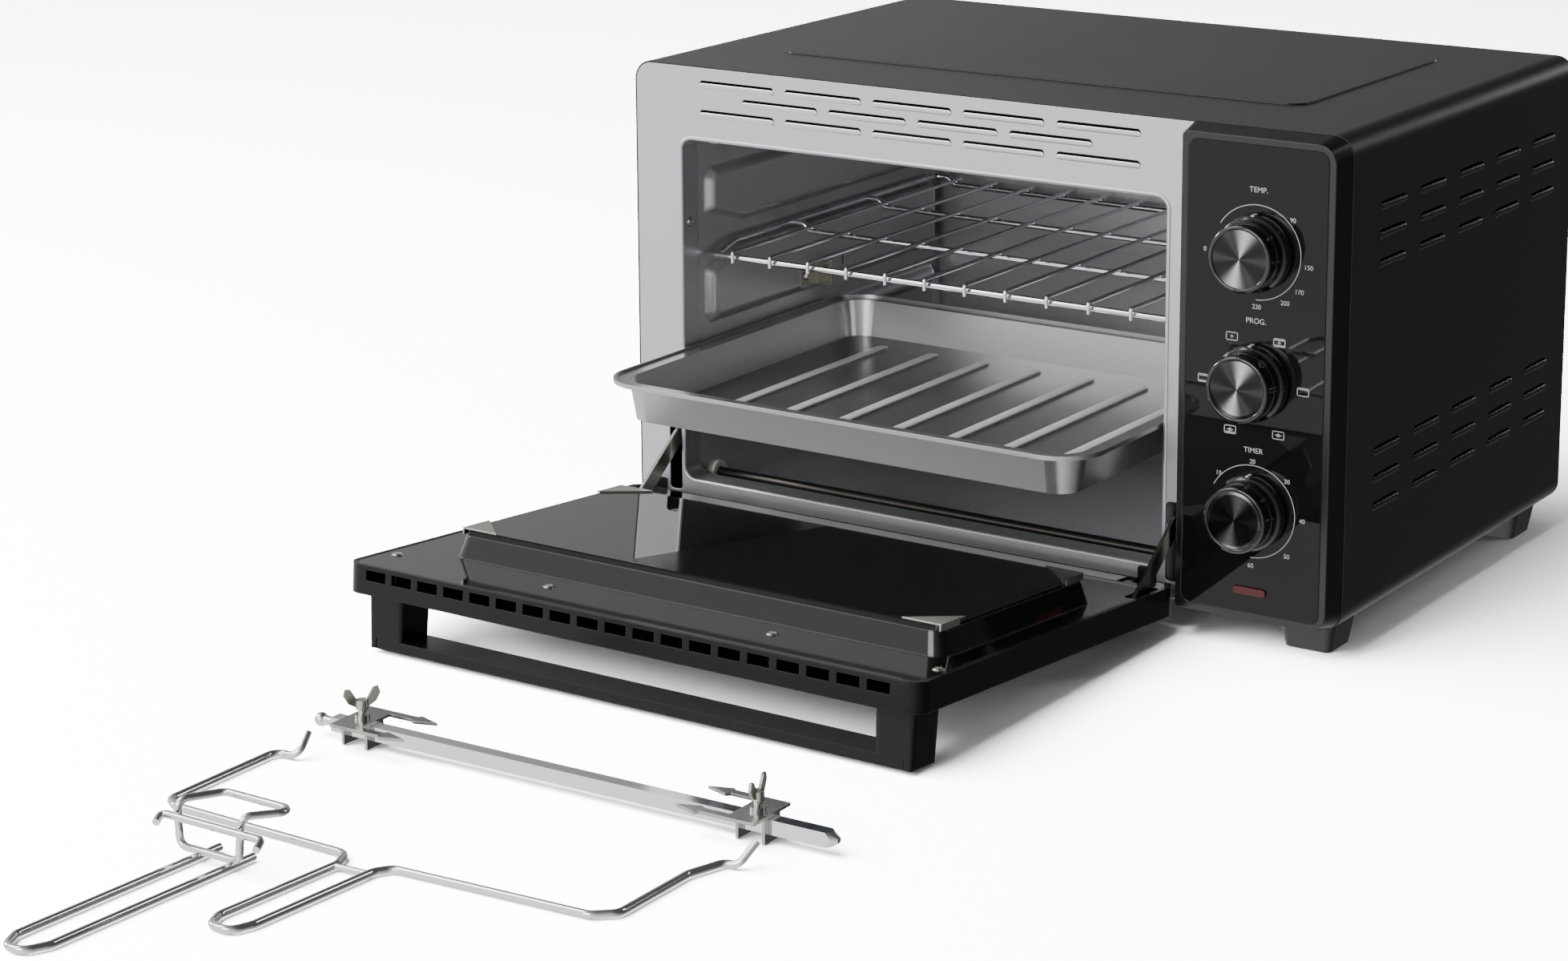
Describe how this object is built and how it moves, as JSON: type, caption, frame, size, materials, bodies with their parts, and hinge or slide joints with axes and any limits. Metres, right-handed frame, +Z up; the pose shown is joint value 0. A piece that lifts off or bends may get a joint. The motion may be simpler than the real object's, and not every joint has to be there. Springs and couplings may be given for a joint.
{
  "type": "rotisserie toaster oven",
  "caption": "Countertop rotisserie oven, drop-down glass door open, dial control panel, wire rack, drawn-out baking tray, spit with forks and two wire handles.",
  "frame": {"origin": "on the table, under the centre of everything shown: cabinet, open door and the loose tools in front", "axes": "+X to the control panel side, +Y to the back, +Z up"},
  "size_m": [0.48, 1.0012, 0.2968],
  "materials": {
    "black_enamel": "satin",
    "front_silver": "satin",
    "chamber_steel": "satin",
    "foot_plastic": "matt",
    "heater_sheath": "satin",
    "steatite": "matt",
    "bezel_black": "satin",
    "fascia_gloss": "gloss",
    "lamp_red": "gloss",
    "knob_disc": "spun",
    "zinc": "bright zinc",
    "hinge_black": "satin",
    "door_black": "satin",
    "inlay_black": "satin",
    "panel_enamel": "gloss",
    "door_glass": "gloss",
    "bright_chrome": "polished",
    "tray_steel": "satin"
  },
  "bodies": {
    "cabinet": {"outer_shell": "black_enamel", "back_panel": "black_enamel", "base_plate": "black_enamel", "front_frame": "front_silver", "cavity_left_wall": "chamber_steel", "cavity_right_wall": "chamber_steel", "cavity_floor": "chamber_steel", "cavity_roof": "chamber_steel", "cavity_rear_wall": "chamber_steel", "feet_front": "foot_plastic", "feet_rear": "foot_plastic", "upper_heaters": "heater_sheath", "lower_heaters": "heater_sheath", "heater_insulators": "steatite", "control_bezel": "bezel_black", "control_fascia": "fascia_gloss", "lamp_lens": "lamp_red", "thermostat_body": "bezel_black", "program_switch_body": "bezel_black", "timer_body": "bezel_black", "rotisserie_motor": "zinc", "spit_support_bracket": "zinc", "hinge_brackets": "hinge_black", "cabinet_screws": "zinc", "cord_bushing": "bezel_black", "terminal_block": "steatite", "hinge_spring_left": "zinc", "hinge_spring_right": "zinc"},
    "door": {"door_frame": "door_black", "door_inner_panel": "panel_enamel", "door_outer_glass": "door_glass", "door_inner_glass": "door_glass", "glass_clips": "zinc", "door_screws": "zinc", "handle_bar": "door_black", "handle_inlay": "inlay_black", "handle_posts": "door_black", "arm_pins": "zinc"},
    "door_arm_left": {"hinge_arm_left": "zinc"},
    "door_arm_right": {"hinge_arm_right": "zinc"},
    "temp_knob": {"knob_temp": "bezel_black", "knob_disc_temp": "knob_disc", "shaft_temp": "zinc"},
    "program_knob": {"knob_program": "bezel_black", "knob_disc_program": "knob_disc", "shaft_program": "zinc"},
    "timer_knob": {"knob_timer": "bezel_black", "knob_disc_timer": "knob_disc", "shaft_timer": "zinc"},
    "spit_drive": {"drive_socket": "zinc"},
    "rack": {"wire_rack": "bright_chrome"},
    "tray": {"baking_tray": "tray_steel"},
    "spit": {"spit_rod": "bright_chrome"},
    "fork_l": {"fork_left": "bright_chrome"},
    "fork_r": {"fork_right": "bright_chrome"},
    "wing_l": {"wing_screw_left": "bright_chrome"},
    "wing_r": {"wing_screw_right": "bright_chrome"},
    "lifter": {"spit_lifter": "bright_chrome"},
    "tray_grip": {"tray_handle": "bright_chrome"}
  },
  "joints": [
    {"name": "door_hinge", "type": "hinge", "parent": "cabinet", "child": "door", "pos_m": [-0.049, 0.17745, 0.0209], "axis": [1, 0, 0], "range_deg": [-85.5, 0]},
    {"name": "door_arm_left_pivot", "type": "hinge", "parent": "door", "child": "door_arm_left", "pos_m": [-0.213, 0.14372, 0.02696], "axis": [1, 0, 0], "range_deg": [0, 50], "deforming": ["hinge_spring_left"]},
    {"name": "door_arm_right_pivot", "type": "hinge", "parent": "door", "child": "door_arm_right", "pos_m": [0.134, 0.14372, 0.02696], "axis": [1, 0, 0], "range_deg": [0, 50], "deforming": ["hinge_spring_right"]},
    {"name": "temp_knob_turn", "type": "hinge", "parent": "cabinet", "child": "temp_knob", "pos_m": [0.1895, 0.16685, 0.229], "axis": [0, 1, 0], "range_deg": [0, 270]},
    {"name": "program_knob_turn", "type": "hinge", "parent": "cabinet", "child": "program_knob", "pos_m": [0.1895, 0.16685, 0.156], "axis": [0, 1, 0], "range_deg": [0, 300]},
    {"name": "timer_knob_turn", "type": "hinge", "parent": "cabinet", "child": "timer_knob", "pos_m": [0.1895, 0.16685, 0.082], "axis": [0, 1, 0], "range_deg": [0, 300]},
    {"name": "spit_drive_spin", "type": "hinge", "parent": "cabinet", "child": "spit_drive", "pos_m": [0.12, 0.33685, 0.145], "axis": [1, 0, 0], "continuous": true},
    {"name": "rack_slide", "type": "slide", "parent": "cabinet", "child": "rack", "axis": [0, -1, 0], "range_m": [0, 0.2]},
    {"name": "tray_slide", "type": "slide", "parent": "cabinet", "child": "tray", "axis": [0, 1, 0], "range_m": [0, 0.1131]},
    {"name": "spit_lift", "type": "slide", "parent": "cabinet", "child": "spit", "axis": [0, 0, 1], "range_m": [0, 0.15]},
    {"name": "fork_left_slide", "type": "slide", "parent": "spit", "child": "fork_l", "axis": [0.9997, 0.024, 0], "range_m": [-0.008, 0.06]},
    {"name": "fork_right_slide", "type": "slide", "parent": "spit", "child": "fork_r", "axis": [0.9997, 0.024, 0], "range_m": [-0.06, 0.03]},
    {"name": "wing_screw_left_turn", "type": "hinge", "parent": "fork_l", "child": "wing_l", "pos_m": [-0.13016, -0.20788, 0.015], "axis": [0, 0, 1], "continuous": true},
    {"name": "wing_screw_right_turn", "type": "hinge", "parent": "fork_r", "child": "wing_r", "pos_m": [0.11577, -0.20198, 0.015], "axis": [0, 0, 1], "continuous": true},
    {"name": "lifter_lift", "type": "slide", "parent": "cabinet", "child": "lifter", "axis": [0, 0, 1], "range_m": [0, 0.15]},
    {"name": "tray_grip_lift", "type": "slide", "parent": "cabinet", "child": "tray_grip", "axis": [0, 0, 1], "range_m": [0, 0.15]}
  ],
  "couplings": [
    {"joint": "door_arm_left_pivot", "follows": "door_hinge", "ratio": -0.56725},
    {"joint": "door_arm_right_pivot", "follows": "door_hinge", "ratio": -0.56725},
    {"joint": "tray_slide", "follows": "door_hinge", "m_per_rad": -0.075724}
  ]
}
